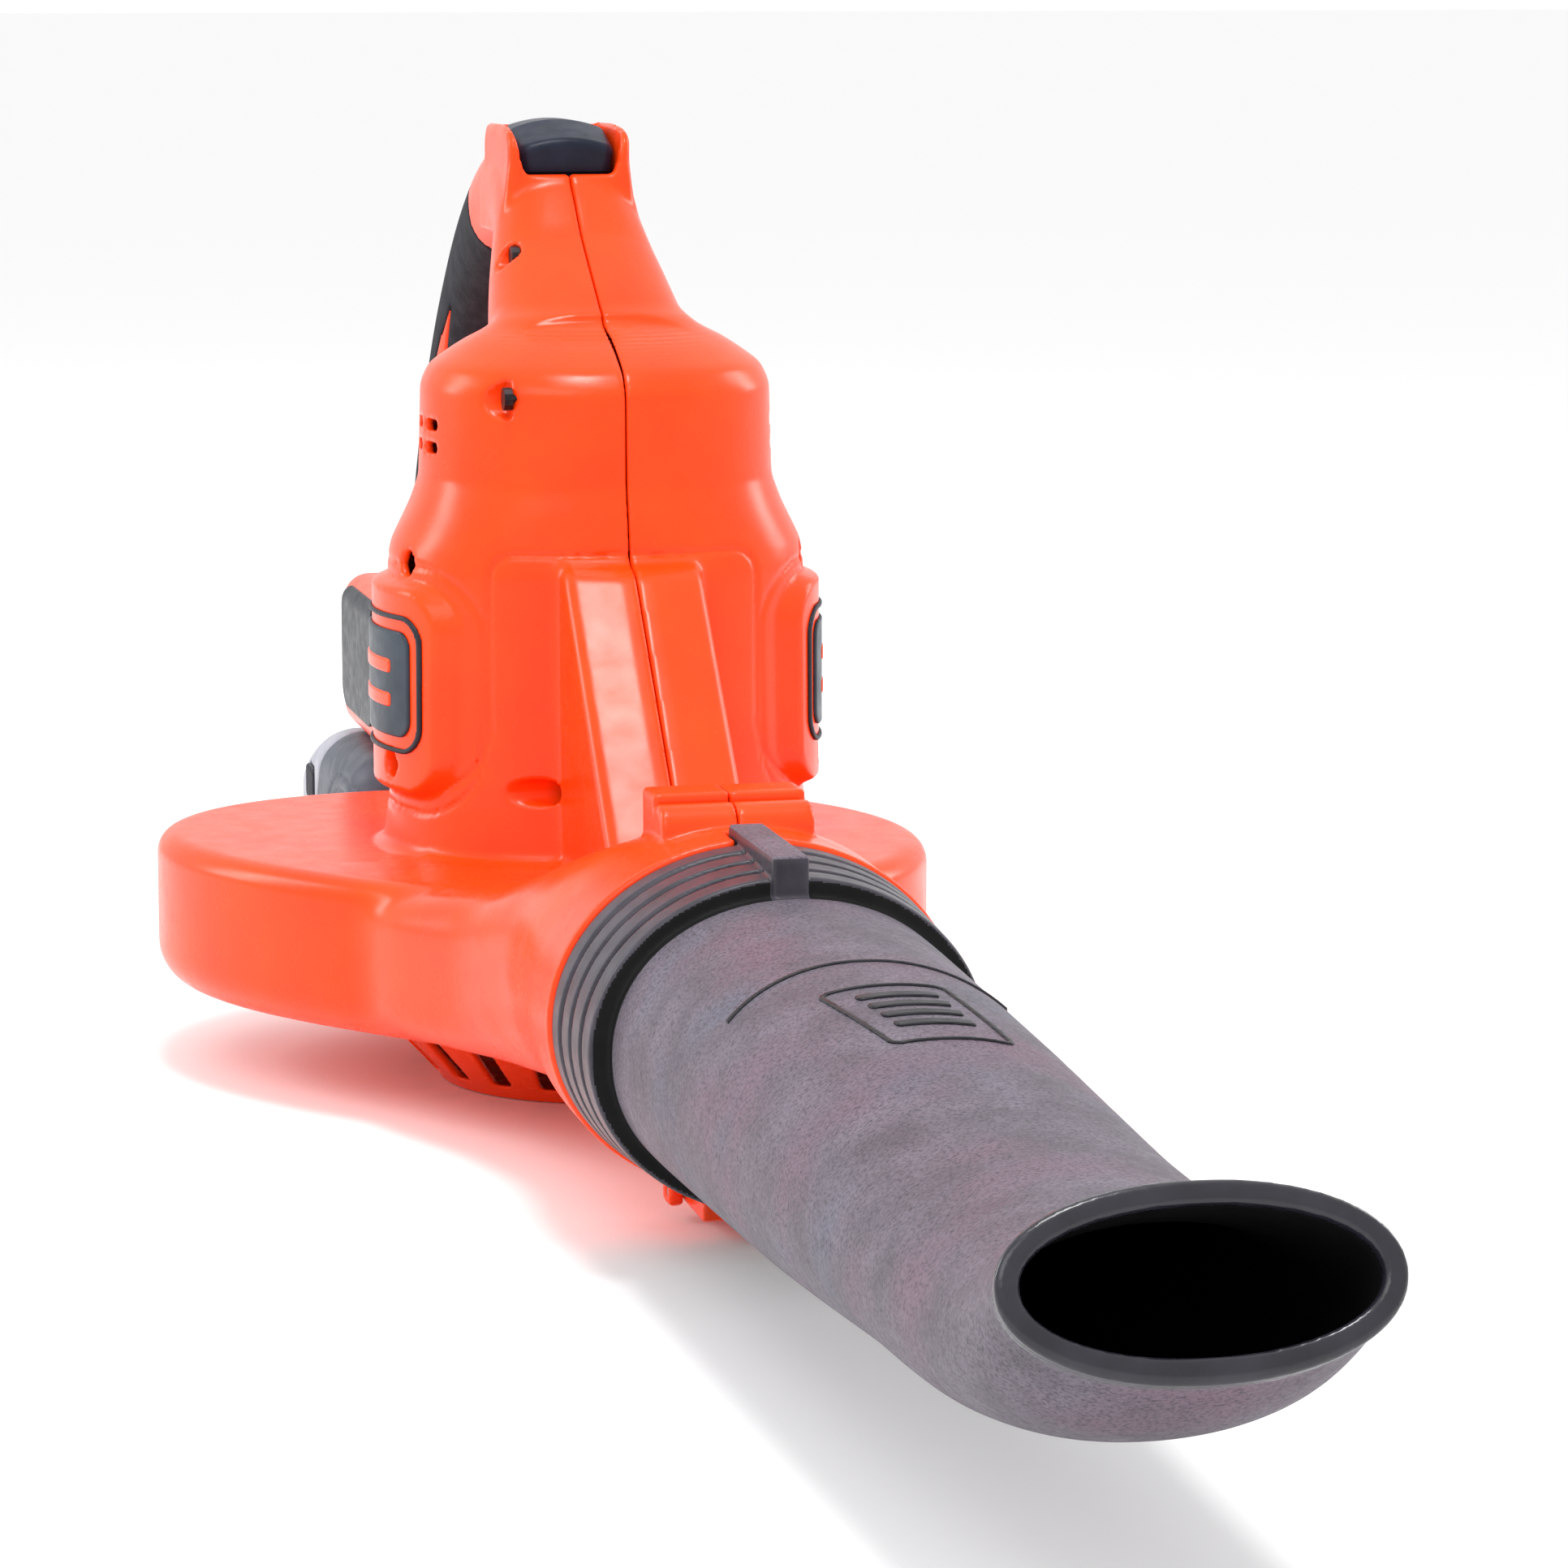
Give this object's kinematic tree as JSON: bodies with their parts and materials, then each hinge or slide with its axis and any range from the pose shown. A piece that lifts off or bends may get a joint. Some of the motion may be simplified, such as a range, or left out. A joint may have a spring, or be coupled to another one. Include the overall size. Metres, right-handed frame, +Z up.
{
  "type": "leaf blower",
  "caption": "Cordless hand-held leaf blower: upright motor over a flat fan scroll, D handle behind it, battery under the handle's foot and a long oval blow tube in front.",
  "frame": {"origin": "on the motor axis, in the flat bottom of the inlet guard that the blower stands on", "axes": "+Z up along the motor axis, -Y the way the air leaves the tube, +X to the right seen from the front"},
  "size_m": [0.2373, 0.946, 0.297],
  "materials": {
    "orange_plastic": "moulded ABS, satin gloss",
    "grey_plastic": "fine-grained dark grey moulding",
    "black_plastic": "black moulding, semi-gloss",
    "black_rubber": "soft-touch overmould, textured",
    "steel": "zinc-plated steel",
    "copper": "copper windings and carbon brushes",
    "magnet": "sintered ferrite",
    "board": "solder-masked circuit board",
    "cell_wrap": "shrink-wrapped cells",
    "wire": "flexible lead insulation"
  },
  "bodies": {
    "casing": {"casing_left": "orange_plastic", "casing_right": "orange_plastic", "badge_left": "grey_plastic", "badge_right": "grey_plastic", "motor_mount_lower": "grey_plastic", "motor_mount_upper": "grey_plastic", "rear_label_left": "black_plastic", "rear_label_right": "black_plastic", "motor_end_bell": "black_plastic", "boost_switch": "black_plastic", "switch_body": "black_plastic", "terminal_block": "black_plastic", "grip_left": "black_rubber", "grip_right": "black_rubber", "screw_neck": "steel", "screw_handle": "steel", "screw_front": "steel", "screw_foot": "steel", "mount_screw_lower_left": "steel", "mount_screw_lower_right": "steel", "mount_screw_upper_left": "steel", "mount_screw_upper_right": "steel", "bearing_lower": "steel", "bearing_upper": "steel", "motor_can": "steel", "button_spring": "steel", "trigger_pin": "steel", "trigger_spring": "steel", "latch_pin": "steel", "latch_spring": "steel", "contact_blade_1": "steel", "contact_blade_2": "steel", "contact_blade_3": "steel", "brush_front": "copper", "brush_rear": "copper", "magnet_left": "magnet", "magnet_right": "magnet", "control_board": "board", "lead_motor": "wire", "lead_battery": "wire"},
    "tube": {"blow_tube": "grey_plastic", "tube_seal": "black_rubber"},
    "fan": {"rotor": "copper", "impeller": "black_plastic", "impeller_washer": "steel", "impeller_nut": "steel"},
    "button": {"top_button": "black_plastic"},
    "trigger": {"trigger": "black_plastic"},
    "latch": {"tube_latch": "orange_plastic"},
    "guard": {"inlet_guard": "orange_plastic"},
    "battery": {"battery_shell_upper": "grey_plastic", "battery_shell_lower": "black_plastic", "cell_pack": "cell_wrap", "battery_board": "board", "release_spring_left": "steel", "release_spring_right": "steel"},
    "release_left": {"battery_release_left": "black_plastic"},
    "release_right": {"battery_release_right": "black_plastic"}
  },
  "joints": [
    {"name": "fan_spin", "type": "hinge", "parent": "casing", "child": "fan", "pos_m": [0, 0, 0.1], "axis": [0, 0, 1], "continuous": true},
    {"name": "trigger_squeeze", "type": "hinge", "parent": "casing", "child": "trigger", "pos_m": [0, 0.11393, 0.26468], "axis": [1, 0, 0], "range_deg": [0, 9], "stiffness_Nm_per_rad": 0.3, "springref_deg": -8.59},
    {"name": "button_press", "type": "slide", "parent": "casing", "child": "button", "axis": [0, 0, -1], "range_m": [0, 0.0025], "stiffness_N_per_m": 800, "springref_m": -0.001, "deforming": ["button_spring"]},
    {"name": "tube_pull", "type": "slide", "parent": "casing", "child": "tube", "axis": [0, -1, 0], "range_m": [0, 0.06]},
    {"name": "latch_open", "type": "hinge", "parent": "casing", "child": "latch", "pos_m": [0, -0.198, 0.0076], "axis": [1, 0, 0], "range_deg": [0, 9], "stiffness_Nm_per_rad": 0.3, "springref_deg": -8.59},
    {"name": "guard_twist", "type": "hinge", "parent": "casing", "child": "guard", "pos_m": [0, 0, 0.01], "axis": [0, 0, 1], "range_deg": [0, 18]},
    {"name": "battery_slide", "type": "slide", "parent": "casing", "child": "battery", "axis": [0, 1, 0], "range_m": [0, 0.11]},
    {"name": "release_left_press", "type": "slide", "parent": "battery", "child": "release_left", "axis": [1, 0, 0], "range_m": [0, 0.003], "stiffness_N_per_m": 1500, "springref_m": -0.001},
    {"name": "release_right_press", "type": "slide", "parent": "battery", "child": "release_right", "axis": [-1, 0, 0], "range_m": [0, 0.003], "stiffness_N_per_m": 1500, "springref_m": -0.001}
  ]
}
